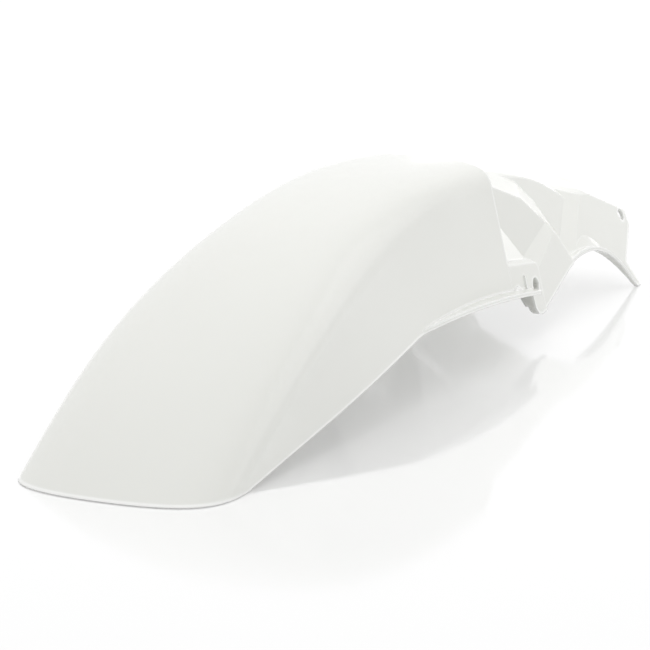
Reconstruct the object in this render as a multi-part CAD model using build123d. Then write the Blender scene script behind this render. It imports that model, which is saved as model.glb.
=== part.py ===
from build123d import *
import math
import os

# Rear fender of an off-road motorcycle, moulded in one piece.
# +X points to the front of the motorcycle, +Y to its left and +Z up.
# The fender stands on its tail's end edge and on the tips of its two front legs.
# A station is a place along X, counted towards the front end.

# Overall length, station of the front end, and wall
LENGTH = 800.0
FRONT_STATION = 800.0
WALL = 3.0

# Line of the crown along the tail
CREST_STATION = 425.0
CREST_HEIGHT = 149.0
RISE_POWER = 2.2
STEP_STATION = 515.0
STEP_HEIGHT = 145.0

# Cross-section of the tail: half widths at floor level, lean of the side walls, and shoulders
TAIL_SECTION_COUNT = 8
TAIL_HALF_WIDTH = 79.0
BODY_HALF_WIDTH = 92.5
TAIL_LEAN = 1.0
BODY_LEAN = 13.2
WIDENING_START = 40.0
WIDENING_END = 340.0
TAIL_SHOULDER = 36.0
STEP_SHOULDER = 19.0
SHARPENING_START = 230.0
TAIL_FLAT = 46.0
STEP_FLAT = 50.0
TAIL_FULLNESS = 0.8

# Lower edge of the tail, and the flange that grows out of it
EDGE_START = 60.0
EDGE_RISE_END = 335.0
EDGE_RISE_HEIGHT = 46.0
EDGE_MIDDLE_STATION = 440.0
EDGE_MIDDLE_HEIGHT = 48.0
EDGE_FRONT_STATION = 548.0
EDGE_FRONT_HEIGHT = 37.5
FLANGE_REAR_REACH = 80.0
FLANGE_MIDDLE_STATION = 432.0
FLANGE_MIDDLE_REACH = 89.5
FLANGE_FRONT_REACH = 95.0
FLANGE_ROUND = 8.0
LIP_THICKNESS = 3.5

# Spine of the front part: its top line, its side walls and how far it is set in from the tail
SPINE_SECTION_COUNT = 8
SET_IN = 4.0
SPINE_FALL = 0.1875
SPINE_HALF_WIDTH = 88.0
SPINE_LEAN = 23.6
SPINE_SHOULDER = 7.5
SPINE_FLAT = 26.0
SPINE_FULLNESS = 0.15
NOSE_SHOULDER = 36.0
NOSE_SHOULDER_START = 640.0
NOSE_SHOULDER_END = 750.0
NOSE_FLAT = 15.0

# Side block beside the spine: its top line, and the ledge and the slanted cut between its wall and the spine
BLOCK_REAR_CROWN = 144.0
BLOCK_END = 674.0
BLOCK_END_CROWN = 107.5
LEDGE_REAR_STATION = 549.5
LEDGE_REAR_SIDE = 51.4
LEDGE_REAR_HEIGHT = 117.7
LEDGE_INNER_STATION = 632.0
LEDGE_INNER_SIDE = 41.9
LEDGE_INNER_HEIGHT = 105.4
CUT_REAR_STATION = 587.5
CUT_REAR_SIDE = 57.8
CUT_REAR_HEIGHT = 103.7
CUT_FRONT_STATION = 616.0
CUT_FRONT_SIDE = 65.9
CUT_FRONT_HEIGHT = 81.7
CUT_INNER_STATION = 641.4
CUT_INNER_SIDE = 48.7
CUT_INNER_HEIGHT = 90.0

# Pocket in the block's wall: a flat floor, deeper at its rear, between a rear and a front facet
FACET_BOTTOM_STATION = 566.7
FACET_BOTTOM_HEIGHT = 61.3
FACET_BOTTOM_DEPTH = 5.0
REAR_FACET_STATION = 541.2
REAR_FACET_HEIGHT = 88.6
REAR_FACET_DEPTH = 8.0
REAR_FACET_RIM_STATION = 522.0
REAR_FACET_RIM_HEIGHT = 68.5
FRONT_FACET_STATION = 618.0
FRONT_FACET_HEIGHT = 79.3
FRONT_FACET_DEPTH = 3.0
FRONT_FACET_RIM_STATION = 604.0
FRONT_FACET_RIM_HEIGHT = 62.0

# Front end of the block: a slanted face that leads its wall inwards to the spine's wall
SWEEP_TOP_STATION = 633.0
SWEEP_TOP_HEIGHT = 65.0
SWEEP_LOW_STATION = 655.0
SWEEP_LOW_HEIGHT = 40.0
SWEEP_END_STATION = 655.0
SWEEP_END_HEIGHT = 64.0

# Cheeks of the nose, proud of the spine's walls in front of a slanted ramp
CHEEK_REAR = 650.0
CHEEK_RISE = 5.0
CHEEK_FRONT_RISE = 3.5
CHEEK_DROP = 3.5
CHEEK_MIDDLE = 738.0
CHEEK_REAR_CREASE = 92.0
CHEEK_MIDDLE_CREASE = 81.5
CHEEK_FRONT_CREASE = 57.0
RAMP_TOP_STATION = 697.0
RAMP_TOP_HEIGHT = 82.7
RAMP_LOW_STATION = 674.0
RAMP_LOW_HEIGHT = 66.5
RAMP_RUN = 27.0

# Pad around the rear bolt hole, with a small round boss and a rib on it
PAD_REAR = 495.0
PAD_FRONT = 576.0
PAD_TOP_REAR = 69.8
PAD_TOP_FRONT = 59.0
PAD_ROUND = 10.0
PAD_RISE = 3.5
PAD_EDGE = 3.2
REAR_HOLE_STATION = 561.0
REAR_HOLE_HEIGHT = 40.5
REAR_HOLE_DIAMETER = 11.5
BOSS_STATION = 524.5
BOSS_HEIGHT = 36.3
BOSS_DIAMETER = 20.0
BOSS_RISE = 1.5
RIB_STATION = 541.5
RIB_BOTTOM = 39.0
RIB_TOP = 51.5
RIB_WIDTH = 2.0
RIB_RISE = 1.2

# Tab that hangs below the pad, with its rear edge turned inwards
TAB_TOP_STATION = 551.0
TAB_TOP_HEIGHT = 38.8
TAB_REAR_STATION = 552.5
TAB_REAR_HEIGHT = 25.0
TAB_BOTTOM_STATION = 559.5
TAB_BOTTOM_HEIGHT = 18.5
TAB_FRONT_STATION = 568.0
TAB_FRONT_HEIGHT = 18.8
RETURN_TOP_REACH = 68.0
RETURN_LOW_REACH = 77.0

# Arch between the tab and the leg, with its outward lip
ARCH_START_STATION = 580.0
ARCH_START_HEIGHT = 18.2
ARCH_REAR_PULL_STATION = 654.0
ARCH_REAR_PULL_HEIGHT = 39.7
ARCH_FRONT_PULL_STATION = 702.0
ARCH_FRONT_PULL_HEIGHT = 71.0
ARCH_LIP_REAR_REACH = 79.0
ARCH_LIP_MIDDLE_STATION = 690.0
ARCH_LIP_MIDDLE_REACH = 79.5
ARCH_LIP_FRONT_REACH = 91.0
ARCH_LIP_DROP = 0.5
FLARE_ROOT = 60.0
FLARE_REAR_HEIGHT = 13.0
FLARE_REAR_PULL_HEIGHT = 49.5
FLARE_FRONT_PULL_HEIGHT = 106.0
FLARE_FRONT_HEIGHT = 12.0

# Leg and front edge
LEG_STATION = 768.0
LEG_TIP_STATION = 776.0
HEEL_STATION = 764.0
HEEL_HEIGHT = 21.0
NOSE_EDGE_HEIGHT = 46.0

# Hole in each cheek
FRONT_HOLE_STATION = 790.0
FRONT_HOLE_HEIGHT = 54.0
FRONT_HOLE_DIAMETER = 10.0

# Room that cutting shapes need beyond the moulding
OVERRUN = 30.0
UNDERCUT = 90.0
CLEAR = 300.0


def along(station):
    """X of a station."""
    return station - FRONT_STATION + LENGTH / 2


def tail_station(distance):
    """Station at a distance from the tail's end."""
    return FRONT_STATION - LENGTH + distance


def climb(station):
    """Share of the way from the tail's end to the crest."""
    return (station - tail_station(0)) / (CREST_STATION - tail_station(0))


def ramp(value, start, end):
    """Smooth step from 0 at start to 1 at end."""
    t = min(max((value - start) / (end - start), 0), 1)
    return t * t * (3 - 2 * t)


def blend(a, b, share):
    """Value between a and b."""
    return a + (b - a) * share


def spread(start, end, count):
    """Evenly spaced values from start to end."""
    return [blend(start, end, i / (count - 1)) for i in range(count)]


def tilt(degrees):
    """Sideways run of a leaning wall for each unit of height."""
    return math.tan(math.radians(degrees))


def slant(degrees):
    """Length along a leaning wall for each unit of height."""
    return 1 / math.cos(math.radians(degrees))


def crown_height(station):
    """Height of the tail's crown: a power curve up to the crest, then a shallow fall to the step."""
    if station > CREST_STATION:
        fall = (station - CREST_STATION) / (STEP_STATION - CREST_STATION)
        return CREST_HEIGHT - (CREST_HEIGHT - STEP_HEIGHT) * fall ** 2
    return CREST_HEIGHT * (1 - (1 - climb(station)) ** RISE_POWER)


def crown_slope(station):
    """Slope of the tail's crown."""
    if station > CREST_STATION:
        run = STEP_STATION - CREST_STATION
        return -2 * (CREST_HEIGHT - STEP_HEIGHT) * (station - CREST_STATION) / run ** 2
    run = CREST_STATION - tail_station(0)
    return CREST_HEIGHT * RISE_POWER / run * (1 - climb(station)) ** (RISE_POWER - 1)


def arch_section(station, foot, lean, crown, shoulder, flat, fullness):
    """Cross-section: leaning side walls that turn through round shoulders into a crowned top."""
    x = along(station)
    low = -UNDERCUT
    bend = crown - shoulder
    pull = crown - shoulder * (1 - fullness)

    def wall(height):
        return foot - height * tilt(lean)

    edges = [
        Line((x, -wall(low), low), (x, wall(low), low)),
        Line((x, wall(low), low), (x, wall(bend), bend)),
        Bezier((x, wall(bend), bend), (x, wall(pull), pull), (x, flat, crown), (x, 0, crown)),
        Bezier((x, 0, crown), (x, -flat, crown), (x, -wall(pull), pull), (x, -wall(bend), bend)),
        Line((x, -wall(bend), bend), (x, -wall(low), low)),
    ]
    return Face(Wire(edges))


def tail_section(station, inset):
    """Cross-section of the tail, moved in by an inset."""
    width = ramp(station, WIDENING_START, WIDENING_END)
    sharp = ramp(station, SHARPENING_START, STEP_STATION)
    lean = blend(TAIL_LEAN, BODY_LEAN, width)
    foot = blend(TAIL_HALF_WIDTH, BODY_HALF_WIDTH, width) - inset * slant(lean)
    crown = crown_height(station) - inset * math.hypot(1, crown_slope(station))
    shoulder = blend(TAIL_SHOULDER, STEP_SHOULDER, sharp) - inset / 2
    flat = blend(TAIL_FLAT, STEP_FLAT, sharp) - inset / 2
    return arch_section(station, foot, lean, crown, shoulder, flat, TAIL_FULLNESS)


def tail_form(inset):
    """Solid form of the tail, from behind its end up to the step."""
    stations = spread(tail_station(-OVERRUN), STEP_STATION - inset, TAIL_SECTION_COUNT)
    return loft([tail_section(station, inset) for station in stations])


def block_section(station, crown, inset):
    """Cross-section of the side block, whose walls are set in from the tail's walls."""
    foot = BODY_HALF_WIDTH - (SET_IN + inset) * slant(BODY_LEAN)
    return arch_section(station, foot, BODY_LEAN, crown - inset, STEP_SHOULDER, STEP_FLAT, TAIL_FULLNESS)


def across(face):
    """Prism across the whole fender from a face in side view."""
    return extrude(Plane.XZ * face, CLEAR, both=True)


def beyond(first, second, third, inset):
    """Everything on the outer side of the plane through three points, moved in by an inset."""
    first, second, third = Vector(*first), Vector(*second), Vector(*third)
    normal = (second - first).cross(third - first).normalized()
    if normal.Y > 0:
        normal = -normal
    plane = Plane(origin=first - normal * inset, x_dir=second - first, z_dir=normal)
    return extrude(plane * Rectangle(2 * CLEAR, 2 * CLEAR), CLEAR)


def slanted_cut(inset):
    """Everything outside the ledge and the slanted face between the block's right wall and the spine."""
    ledge = (along(LEDGE_REAR_STATION), -LEDGE_REAR_SIDE, LEDGE_REAR_HEIGHT)
    ledge_inner = (along(LEDGE_INNER_STATION), -LEDGE_INNER_SIDE, LEDGE_INNER_HEIGHT)
    rear = (along(CUT_REAR_STATION), -CUT_REAR_SIDE, CUT_REAR_HEIGHT)
    front = (along(CUT_FRONT_STATION), -CUT_FRONT_SIDE, CUT_FRONT_HEIGHT)
    inner = (along(CUT_INNER_STATION), -CUT_INNER_SIDE, CUT_INNER_HEIGHT)
    return beyond(ledge, rear, ledge_inner, inset) + beyond(rear, front, inner, inset)


def wall_plane(depth):
    """Plane of the block's right wall, moved inwards by a depth, with its origin at floor level."""
    lean = math.radians(BODY_LEAN)
    foot = BODY_HALF_WIDTH - (SET_IN + depth) * slant(BODY_LEAN)
    return Plane(origin=(0, -foot, 0), x_dir=(1, 0, 0), z_dir=(0, -math.cos(lean), math.sin(lean)))


def wall_face(points):
    """Face on the block's leaning wall from stations and heights."""
    places = [(along(station), height * slant(BODY_LEAN)) for station, height in points]
    return make_face(Polyline(*places, close=True))


def wall_point(station, height, depth):
    """Point below the surface of the block's right wall."""
    return wall_plane(depth).from_local_coords((along(station), height * slant(BODY_LEAN), 0))


def pocket(inset):
    """Recess in the block's right wall, open at its top: a flat floor and two gentle facets."""
    bottom = wall_point(FACET_BOTTOM_STATION, FACET_BOTTOM_HEIGHT, FACET_BOTTOM_DEPTH)
    rear = wall_point(REAR_FACET_STATION, REAR_FACET_HEIGHT, REAR_FACET_DEPTH)
    rear_rim = wall_point(REAR_FACET_RIM_STATION, REAR_FACET_RIM_HEIGHT, 0)
    front = wall_point(FRONT_FACET_STATION, FRONT_FACET_HEIGHT, FRONT_FACET_DEPTH)
    front_rim = wall_point(FRONT_FACET_RIM_STATION, FRONT_FACET_RIM_HEIGHT, 0)
    facets = beyond(bottom, rear, rear_rim, inset) & beyond(bottom, front, front_rim, inset)
    return beyond(bottom, rear, front, inset) & facets


def sweep_cut(inset):
    """Everything outside the slanted face at the front end of the block's right side."""
    top = wall_point(SWEEP_TOP_STATION, SWEEP_TOP_HEIGHT, 0)
    low = wall_point(SWEEP_LOW_STATION, SWEEP_LOW_HEIGHT, 0)
    end = spine_point(SWEEP_END_STATION, SWEEP_END_HEIGHT, 0)
    return beyond(top, low, end, inset)


def block_form(inset):
    """Side block with its slanted faces and its two pockets."""
    rear = block_section(STEP_STATION - OVERRUN, BLOCK_REAR_CROWN, inset)
    front = block_section(BLOCK_END - inset, BLOCK_END_CROWN, inset)
    right = slanted_cut(inset) + pocket(inset) + sweep_cut(inset)
    return loft([rear, front]) - right - right.mirror(Plane.XZ)


def spine_crown(station):
    """Height of the spine's top line."""
    return STEP_HEIGHT - SET_IN - SPINE_FALL * (station - STEP_STATION)


def spine_section(station, inset):
    """Cross-section of the spine, whose shoulders grow into broad slopes towards the nose."""
    foot = SPINE_HALF_WIDTH - inset * slant(SPINE_LEAN)
    shoulder = blend(SPINE_SHOULDER, NOSE_SHOULDER, ramp(station, NOSE_SHOULDER_START, NOSE_SHOULDER_END))
    flat = blend(SPINE_FLAT, NOSE_FLAT, ramp(station, STEP_STATION, FRONT_STATION))
    return arch_section(station, foot, SPINE_LEAN, spine_crown(station) - inset, shoulder, flat, SPINE_FULLNESS)


def spine_form(inset):
    """Solid form of the spine, which runs out at the front end."""
    stations = spread(STEP_STATION - OVERRUN, FRONT_STATION + inset, SPINE_SECTION_COUNT)
    return loft([spine_section(station, inset) for station in stations])


def spine_point(station, height, rise):
    """Point above the surface of the spine's right wall."""
    y = SPINE_HALF_WIDTH + rise * slant(SPINE_LEAN) - height * tilt(SPINE_LEAN)
    return along(station), -y, height


def cheek_section(station, crease, inset):
    """Cross-section of the cheeks, whose walls end at a crease a little below the spine's top line."""
    rise = blend(CHEEK_RISE, CHEEK_FRONT_RISE, (station - CHEEK_REAR) / (FRONT_STATION - CHEEK_REAR))
    foot = SPINE_HALF_WIDTH + (rise - inset) * slant(SPINE_LEAN)
    crown = spine_crown(station) - CHEEK_DROP
    return arch_section(station, foot, SPINE_LEAN, crown - inset, crown - crease, NOSE_FLAT, SPINE_FULLNESS)


def cheek_form(inset):
    """Raised cheeks on both sides of the nose, behind which a slanted ramp leads into the spine's walls."""
    rear = cheek_section(CHEEK_REAR, CHEEK_REAR_CREASE, inset)
    middle = cheek_section(CHEEK_MIDDLE, CHEEK_MIDDLE_CREASE, inset)
    front = cheek_section(FRONT_STATION + inset, CHEEK_FRONT_CREASE, inset)
    top = spine_point(RAMP_TOP_STATION, RAMP_TOP_HEIGHT, 0)
    low = spine_point(RAMP_LOW_STATION, RAMP_LOW_HEIGHT, 0)
    end = spine_point(RAMP_TOP_STATION + RAMP_RUN, RAMP_TOP_HEIGHT, CHEEK_RISE)
    right = beyond(top, low, end, inset)
    return loft([rear, middle, front], ruled=True) - right - right.mirror(Plane.XZ)


def whole_form(inset):
    """Whole solid form, moved in by an inset."""
    return tail_form(inset) + block_form(inset) + spine_form(inset) + cheek_form(inset)


def flange_edge(lift):
    """Lower edge of the flange in side view, lifted by a height."""
    return ThreePointArc(
        (along(EDGE_RISE_END), EDGE_RISE_HEIGHT + lift),
        (along(EDGE_MIDDLE_STATION), EDGE_MIDDLE_HEIGHT + lift),
        (along(EDGE_FRONT_STATION), EDGE_FRONT_HEIGHT + lift),
    )


def arch_edge(lift):
    """Arch in side view from the tab to the leg, lifted by a height."""
    return Bezier(
        (along(ARCH_START_STATION), ARCH_START_HEIGHT + lift),
        (along(ARCH_REAR_PULL_STATION), ARCH_REAR_PULL_HEIGHT + lift),
        (along(ARCH_FRONT_PULL_STATION), ARCH_FRONT_PULL_HEIGHT + lift),
        (along(LEG_STATION), lift),
    )


def tab_edge():
    """Tab's rear edge, round bottom and front edge in side view."""
    rear = (along(TAB_REAR_STATION), TAB_REAR_HEIGHT)
    bottom = (along(TAB_BOTTOM_STATION), TAB_BOTTOM_HEIGHT)
    front = (along(TAB_FRONT_STATION), TAB_FRONT_HEIGHT)
    return [
        Line((along(TAB_TOP_STATION), TAB_TOP_HEIGHT), rear),
        ThreePointArc(rear, bottom, front),
        Line(front, (along(ARCH_START_STATION), ARCH_START_HEIGHT)),
    ]


def trim_form():
    """Everything above the walls' lower edge, as a prism across the fender."""
    half = LIP_THICKNESS / 2
    start_of_edge = (along(tail_station(EDGE_START)), 0)
    tail = Line(start_of_edge, (along(EDGE_RISE_END), EDGE_RISE_HEIGHT))
    to_tab = ThreePointArc(
        (along(EDGE_RISE_END), EDGE_RISE_HEIGHT),
        (along(EDGE_MIDDLE_STATION), EDGE_MIDDLE_HEIGHT + half),
        (along(TAB_TOP_STATION), TAB_TOP_HEIGHT),
    )
    rest = Polyline(
        (along(LEG_STATION), ARCH_LIP_DROP),
        (along(LEG_STATION), 0),
        (along(LEG_TIP_STATION), 0),
        (along(HEEL_STATION), HEEL_HEIGHT),
        (along(FRONT_STATION), NOSE_EDGE_HEIGHT),
        (along(FRONT_STATION), CLEAR),
        (along(tail_station(0)), CLEAR),
        (along(tail_station(0)), 0),
        start_of_edge,
    )
    start = (along(ARCH_START_STATION), ARCH_START_HEIGHT)
    lift = Line(start, (along(ARCH_START_STATION), ARCH_START_HEIGHT + ARCH_LIP_DROP))
    edges = [tail, to_tab, *tab_edge(), lift, arch_edge(ARCH_LIP_DROP), *rest.edges()]
    return across(make_face(edges))


def band(low, high):
    """Prism across the fender between two edges in side view."""
    return across(make_face([low, high, Line(low @ 0, high @ 0), Line(low @ 1, high @ 1)]))


def flange():
    """Outward lip along the lower edge of the tail, on the right."""
    rear = along(EDGE_RISE_END)
    front = along(EDGE_FRONT_STATION)
    middle = (along(FLANGE_MIDDLE_STATION), -FLANGE_MIDDLE_REACH)
    plan = make_face([
        ThreePointArc((rear, -FLANGE_REAR_REACH), middle, (front, -FLANGE_FRONT_REACH)),
        *Polyline((front, -FLANGE_FRONT_REACH), (front, 0), (rear, 0), (rear, -FLANGE_REAR_REACH)).edges(),
    ])
    corner = plan.vertices().sort_by(Axis.Y)[0]
    plan = fillet(corner, FLANGE_ROUND)
    return band(flange_edge(0), flange_edge(LIP_THICKNESS)) & extrude(plan, CLEAR)


def arch_plan():
    """Prism under the outline of the arch's right lip in plan."""
    rear = along(ARCH_START_STATION)
    front = along(LEG_STATION)
    middle = (along(ARCH_LIP_MIDDLE_STATION), -ARCH_LIP_MIDDLE_REACH)
    plan = make_face([
        ThreePointArc((rear, -ARCH_LIP_REAR_REACH), middle, (front, -ARCH_LIP_FRONT_REACH)),
        *Polyline((front, -ARCH_LIP_FRONT_REACH), (front, 0), (rear, 0), (rear, -ARCH_LIP_REAR_REACH)).edges(),
    ])
    return extrude(plan, CLEAR)


def arch_lip():
    """Outward lip along the arch, on the right."""
    return band(arch_edge(0), arch_edge(LIP_THICKNESS)) & arch_plan()


def flare_edge():
    """Upper edge in side view, at its root, of the slope above the arch's lip."""
    return Bezier(
        (along(ARCH_START_STATION), FLARE_REAR_HEIGHT),
        (along(ARCH_REAR_PULL_STATION), FLARE_REAR_PULL_HEIGHT),
        (along(ARCH_FRONT_PULL_STATION), FLARE_FRONT_PULL_HEIGHT),
        (along(LEG_STATION), FLARE_FRONT_HEIGHT),
    )


def arch_flare():
    """Slope above the arch's right lip, which leads it into the wall."""
    low = arch_edge(-UNDERCUT)
    high = flare_edge()
    face = make_face([low, high, Line(low @ 0, high @ 0), Line(low @ 1, high @ 1)])
    root = Pos(0, -FLARE_ROOT, 0) * (Plane.XZ * face)
    return extrude(root, CLEAR, dir=(0, -1, -1)) & arch_plan()


def tab_return():
    """Strip along the tab's rear edge that turns inwards, on the right, tapering down the tab."""
    rear = (along(TAB_REAR_STATION), TAB_REAR_HEIGHT)
    top = (along(TAB_TOP_STATION), TAB_TOP_HEIGHT)
    strip = make_face(Polyline(
        top, rear, (rear[0] + LIP_THICKNESS, rear[1]), (top[0] + LIP_THICKNESS, top[1]), close=True
    ))
    taper = make_face(Polyline(
        (-CLEAR, TAB_REAR_HEIGHT),
        (-RETURN_LOW_REACH, TAB_REAR_HEIGHT),
        (-RETURN_TOP_REACH, TAB_TOP_HEIGHT),
        (-CLEAR, TAB_TOP_HEIGHT),
        close=True,
    ))
    return across(strip) & extrude(Plane.YZ * taper, LENGTH, both=True)


def on_wall(outline, rise):
    """Solid on the block's right wall, from inside the wall up to a rise above its surface."""
    deep = REAR_FACET_DEPTH + WALL
    return extrude(wall_plane(0).offset(-deep) * outline, deep + rise)


def pad():
    """Raised pad on the block's right wall, with a bevel along its top and front edges."""
    outline = wall_face([(PAD_REAR, 0), (PAD_FRONT, 0), (PAD_FRONT, PAD_TOP_FRONT), (PAD_REAR, PAD_TOP_REAR)])
    corner = outline.vertices().sort_by(Axis.X)[-2:].sort_by(Axis.Y)[-1]
    plate = on_wall(fillet(corner, PAD_ROUND), PAD_RISE)
    face = plate.faces().sort_by(Axis((0, 0, 0), wall_plane(0).z_dir))[-1]
    rim = face.edges().sort_by(Axis.X)[1:].sort_by(Axis.Z)[1:]
    return chamfer(rim, PAD_EDGE)


def pad_details():
    """Round boss and upright rib on the pad."""
    boss = Pos(along(BOSS_STATION), BOSS_HEIGHT * slant(BODY_LEAN)) * Circle(BOSS_DIAMETER / 2)
    half = RIB_WIDTH / 2
    rib = wall_face([
        (RIB_STATION - half, RIB_BOTTOM),
        (RIB_STATION + half, RIB_BOTTOM),
        (RIB_STATION + half, RIB_TOP),
        (RIB_STATION - half, RIB_TOP),
    ])
    return on_wall(boss, PAD_RISE + BOSS_RISE) + on_wall(rib, PAD_RISE + RIB_RISE)


def rear_hole():
    """Drill through the pad, square to the block's right wall."""
    place = (along(REAR_HOLE_STATION), REAR_HOLE_HEIGHT * slant(BODY_LEAN))
    return extrude(wall_plane(0) * Pos(*place) * Circle(REAR_HOLE_DIAMETER / 2), OVERRUN, both=True)


def front_hole():
    """Drill through the right cheek, square to the spine's right wall."""
    lean = math.radians(SPINE_LEAN)
    y = SPINE_HALF_WIDTH - FRONT_HOLE_HEIGHT * tilt(SPINE_LEAN)
    origin = (along(FRONT_HOLE_STATION), -y, FRONT_HOLE_HEIGHT)
    plane = Plane(origin=origin, x_dir=(1, 0, 0), z_dir=(0, -math.cos(lean), math.sin(lean)))
    return extrude(plane * Circle(FRONT_HOLE_DIAMETER / 2), OVERRUN / 2, both=True)


def both_sides(shape):
    """A shape of the right side together with its mirror image on the left."""
    return shape + shape.mirror(Plane.XZ)


def fender():
    """The whole moulding."""
    inner = whole_form(WALL)
    outer = whole_form(0)
    trim = trim_form()
    shell = (outer - inner) & trim
    pads = both_sides(pad() + pad_details()) & trim
    lips = both_sides(flange() + arch_lip() + (arch_flare() & trim))
    returns = both_sides(tab_return()) & outer
    moulding = shell + (pads + lips - inner) + returns
    return moulding - both_sides(rear_hole() + front_hole())


part = fender()

os.makedirs("parts", exist_ok=True)
export_step(part, "parts/rear_fender.step")
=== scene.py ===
import math

import bpy
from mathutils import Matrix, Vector

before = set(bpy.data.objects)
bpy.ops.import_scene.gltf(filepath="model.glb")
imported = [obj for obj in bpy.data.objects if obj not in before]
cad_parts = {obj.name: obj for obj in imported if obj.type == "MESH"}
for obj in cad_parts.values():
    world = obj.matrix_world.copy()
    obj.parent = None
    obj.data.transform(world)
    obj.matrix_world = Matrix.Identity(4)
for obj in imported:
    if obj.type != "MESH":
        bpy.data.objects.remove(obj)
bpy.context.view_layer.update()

WHITE = (1.0, 1.0, 1.0, 1.0)

# The photograph's camera: its place, its line of sight and its angle of view in degrees
CAMERA_AT = (-2.24617, -1.0332, 0.60521)
CAMERA_TOWARDS = (0.88152, 0.41512, -0.22495)
CAMERA_ANGLE = 11.0

# Colour of the moulded white plastic: two close shades, and a lighter colour painted along edges as
# a highlight
PLASTIC_PALE = (0.825, 0.83, 0.795, 1.0)
PLASTIC_DEEP = (0.805, 0.81, 0.775, 1.0)
# Painted highlight: the lighter colour laid along edges
PAINTED_EDGE_HIGHLIGHT = (0.97, 0.975, 0.95, 1.0)
CLOUD_SCALE = 9.0
CLOUD_DETAIL = 3.0

# Edges: widths of the softened edge and of the painted edge highlight, and the cosines between which
# the painted highlight grows
EDGE_ROUND = 0.0012
PAINTED_HIGHLIGHT_WIDTH = 0.0045
EDGE_SAMPLES = 8
HIGHLIGHT_STARTS = 0.997
HIGHLIGHT_FULL = 0.95

# Gloss of the plastic
PLASTIC_IOR = 1.46
GLOSS_SCALE = 55.0
GLOSS_DETAIL = 4.0
ROUGH_LEAST = 0.16
ROUGH_MOST = 0.24
COAT_SHARE = 0.25
COAT_ROUGH = 0.08
RIPPLE_SCALE = 900.0
RIPPLE_DETAIL = 2.0
RIPPLE_STRENGTH = 0.05
RIPPLE_HEIGHT = 0.0002

# Light that goes a little way into the plastic
DEPTH_SHARE = 0.3
DEPTH_BY_COLOUR = (1.0, 1.0, 1.0)
DEPTH = 0.002

# The white table: white to the light it throws back, but seen as a greyer white lifted by a glow
FLOOR_SIZE = 14.0
FLOOR_DROP = 0.0005
FLOOR_WHITE = (0.97, 0.97, 0.97, 1.0)
FLOOR_SEEN = (0.49, 0.49, 0.49, 1.0)
FLOOR_LIFT = 0.33
FLOOR_IOR = 3.0
FLOOR_ROUGH = 0.08

# Even light all round, and the white that the camera and reflections see there
WORLD_LIGHT = 0.74
WORLD_SEEN = 1.0

# Lamps: name, place, aim, width and height, watts, and whether reflections show it
LAMPS = (
    ("overhead", (0.3, 0.2, 2.2), (0.0, 0.0, 0.05), (2.4, 2.4), 21.5, False),
    ("side", (1.54, -1.71, 1.3), (0.1, 0.0, 0.08), (1.9, 1.7), 4.5, True),
    ("low strip", (3.2, 0.1, 0.24), (0.2, 0.0, 0.1), (2.4, 0.45), 2.0, True),
)


def node(tree, kind, sockets=None, **settings):
    """A new node with its settings, and with constant values on its own sockets."""
    made = tree.nodes.new(kind)
    for name, value in settings.items():
        setattr(made, name, value)
    for name, value in (sockets or {}).items():
        made.inputs[name].default_value = value
    return made


def fresh_material(name):
    """A material with no nodes in it yet."""
    material = bpy.data.materials.new(name)
    material.use_nodes = True
    material.node_tree.nodes.clear()
    return material


def rays_seen(tree):
    """One for what the camera sees, straight, mirrored or through glass; nothing for other light."""
    path = node(tree, "ShaderNodeLightPath")
    straight = node(tree, "ShaderNodeMath", operation="MAXIMUM")
    seen = node(tree, "ShaderNodeMath", operation="MAXIMUM")
    link = tree.links.new
    link(path.outputs["Is Camera Ray"], straight.inputs[0])
    link(path.outputs["Is Glossy Ray"], straight.inputs[1])
    link(straight.outputs["Value"], seen.inputs[0])
    link(path.outputs["Is Transmission Ray"], seen.inputs[1])
    return seen.outputs["Value"]


def noise(tree, scale, detail):
    """Soft noise that keeps its place on the object."""
    place = node(tree, "ShaderNodeTexCoord")
    made = node(tree, "ShaderNodeTexNoise", {"Scale": scale, "Detail": detail})
    tree.links.new(place.outputs["Object"], made.inputs["Vector"])
    return made.outputs["Fac"]


def rounded_normal(tree, width):
    """The surface's direction, turned softly within this width of an edge."""
    made = node(tree, "ShaderNodeBevel", {"Radius": width}, samples=EDGE_SAMPLES)
    return made.outputs["Normal"]


def colour_with_painted_highlight(tree):
    """Faintly cloudy white, with a highlight painted as lighter colour along every edge."""
    shades = {"A": PLASTIC_DEEP, "B": PLASTIC_PALE}
    cloudy = node(tree, "ShaderNodeMix", shades, data_type="RGBA")
    flat = node(tree, "ShaderNodeNewGeometry")
    turned = node(tree, "ShaderNodeVectorMath", operation="DOT_PRODUCT")
    highlight_mask = node(tree, "ShaderNodeMapRange", {"From Min": HIGHLIGHT_STARTS, "From Max": HIGHLIGHT_FULL})
    # Painted highlight: the colour turns lighter where the softened normal turns away from the flat
    # one, along edges
    painted_highlight = node(tree, "ShaderNodeMix", {"B": PAINTED_EDGE_HIGHLIGHT}, data_type="RGBA")
    link = tree.links.new
    link(noise(tree, CLOUD_SCALE, CLOUD_DETAIL), cloudy.inputs["Factor"])
    link(flat.outputs["Normal"], turned.inputs[0])
    link(rounded_normal(tree, PAINTED_HIGHLIGHT_WIDTH), turned.inputs[1])
    link(turned.outputs["Value"], highlight_mask.inputs["Value"])
    link(highlight_mask.outputs["Result"], painted_highlight.inputs["Factor"])
    link(cloudy.outputs["Result"], painted_highlight.inputs["A"])
    return painted_highlight.outputs["Result"]


def plastic_roughness(tree):
    """Gloss that varies a little over the surface."""
    spread = node(tree, "ShaderNodeMapRange", {"To Min": ROUGH_LEAST, "To Max": ROUGH_MOST})
    tree.links.new(noise(tree, GLOSS_SCALE, GLOSS_DETAIL), spread.inputs["Value"])
    return spread.outputs["Result"]


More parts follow.
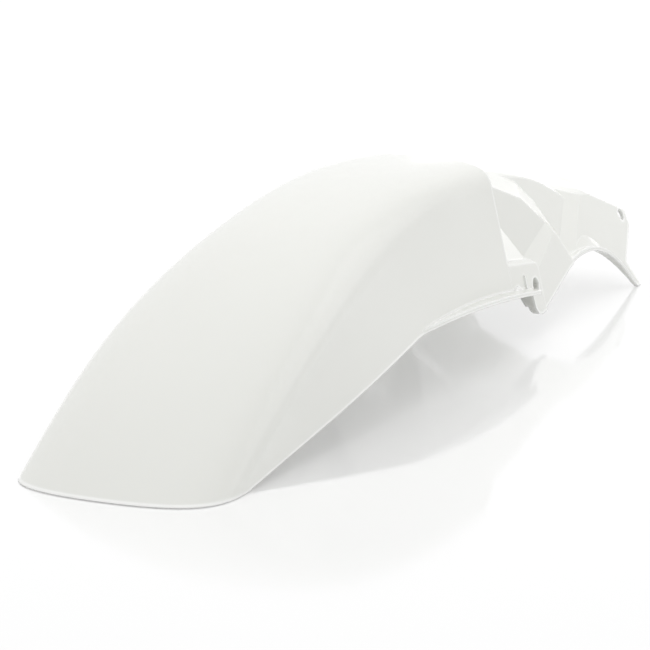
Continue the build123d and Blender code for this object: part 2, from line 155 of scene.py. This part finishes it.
def plastic_normal(tree):
    """Softened edges with a very fine ripple over everything."""
    heights = {"Strength": RIPPLE_STRENGTH, "Distance": RIPPLE_HEIGHT}
    ripple = node(tree, "ShaderNodeBump", heights)
    tree.links.new(noise(tree, RIPPLE_SCALE, RIPPLE_DETAIL), ripple.inputs["Height"])
    tree.links.new(rounded_normal(tree, EDGE_ROUND), ripple.inputs["Normal"])
    return ripple.outputs["Normal"]


def white_plastic():
    """Glossy moulded plastic that lets a little light in."""
    material = fresh_material("white_plastic_moulded")
    tree = material.node_tree
    shader = node(tree, "ShaderNodeBsdfPrincipled", {
        "IOR": PLASTIC_IOR,
        "Subsurface Weight": DEPTH_SHARE,
        "Subsurface Radius": DEPTH_BY_COLOUR,
        "Subsurface Scale": DEPTH,
        "Coat Weight": COAT_SHARE,
        "Coat Roughness": COAT_ROUGH,
    })
    out = node(tree, "ShaderNodeOutputMaterial")
    link = tree.links.new
    link(colour_with_painted_highlight(tree), shader.inputs["Base Color"])
    link(plastic_roughness(tree), shader.inputs["Roughness"])
    link(plastic_normal(tree), shader.inputs["Normal"])
    link(shader.outputs["BSDF"], out.inputs["Surface"])
    return material


def dress_fender():
    """The moulded shell keeps its own mesh and gets the plastic in its slot."""
    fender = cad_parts["rear_fender"]
    fender.data.materials[0] = white_plastic()


def white_table():
    """Glossy white, lifted for the camera so that shadows on it stay pale."""
    material = fresh_material("white_table")
    tree = material.node_tree
    shader = node(tree, "ShaderNodeBsdfPrincipled", {
        "Roughness": FLOOR_ROUGH,
        "IOR": FLOOR_IOR,
        "Emission Color": WHITE,
    })
    whites = {"A": FLOOR_WHITE, "B": FLOOR_SEEN}
    base = node(tree, "ShaderNodeMix", whites, data_type="RGBA")
    lift = node(tree, "ShaderNodeMath", {1: FLOOR_LIFT}, operation="MULTIPLY")
    out = node(tree, "ShaderNodeOutputMaterial")
    seen = rays_seen(tree)
    link = tree.links.new
    link(seen, base.inputs["Factor"])
    link(seen, lift.inputs[0])
    link(base.outputs["Result"], shader.inputs["Base Color"])
    link(lift.outputs["Value"], shader.inputs["Emission Strength"])
    link(shader.outputs["BSDF"], out.inputs["Surface"])
    return material


def pale_floor():
    """A table under the fender that shows its soft shadow and its reflection."""
    bpy.ops.mesh.primitive_plane_add(size=FLOOR_SIZE, location=(0, 0, -FLOOR_DROP))
    floor = bpy.context.object
    floor.name = "floor"
    floor.data.materials.append(white_table())


def studio_world():
    """Even pale light all round, seen as white by the camera and in reflections."""
    world = bpy.data.worlds.new("studio")
    bpy.context.scene.world = world
    world.use_nodes = True
    tree = world.node_tree
    tree.nodes.clear()
    light = node(tree, "ShaderNodeBackground", {"Color": WHITE, "Strength": WORLD_LIGHT})
    white = node(tree, "ShaderNodeBackground", {"Color": WHITE, "Strength": WORLD_SEEN})
    both = node(tree, "ShaderNodeMixShader")
    out = node(tree, "ShaderNodeOutputWorld")
    link = tree.links.new
    link(rays_seen(tree), both.inputs["Fac"])
    link(light.outputs["Background"], both.inputs[1])
    link(white.outputs["Background"], both.inputs[2])
    link(both.outputs["Shader"], out.inputs["Surface"])


def facing(direction):
    """The turn that points a lamp or a camera along this direction."""
    return direction.to_track_quat("-Z", "Y").to_euler()


def soft_lamp(name, place, aim, size, watts, in_reflections):
    """A softbox that the camera itself doesn't see."""
    lamp = bpy.data.lights.new(name, "AREA")
    lamp.shape = "RECTANGLE"
    lamp.size, lamp.size_y = size
    lamp.energy = watts
    holder = bpy.data.objects.new(name, lamp)
    holder.location = place
    holder.rotation_euler = facing(Vector(aim) - Vector(place))
    holder.visible_camera = False
    holder.visible_glossy = in_reflections
    bpy.context.scene.collection.objects.link(holder)


def photo_camera():
    """The camera that took the photograph."""
    camera = bpy.data.cameras.new("camera")
    camera.angle = math.radians(CAMERA_ANGLE)
    holder = bpy.data.objects.new("camera", camera)
    holder.location = CAMERA_AT
    holder.rotation_euler = facing(Vector(CAMERA_TOWARDS))
    bpy.context.scene.collection.objects.link(holder)
    bpy.context.scene.camera = holder


dress_fender()
pale_floor()
studio_world()
for lamp_row in LAMPS:
    soft_lamp(*lamp_row)
photo_camera()
bpy.context.scene.view_settings.view_transform = "Standard"
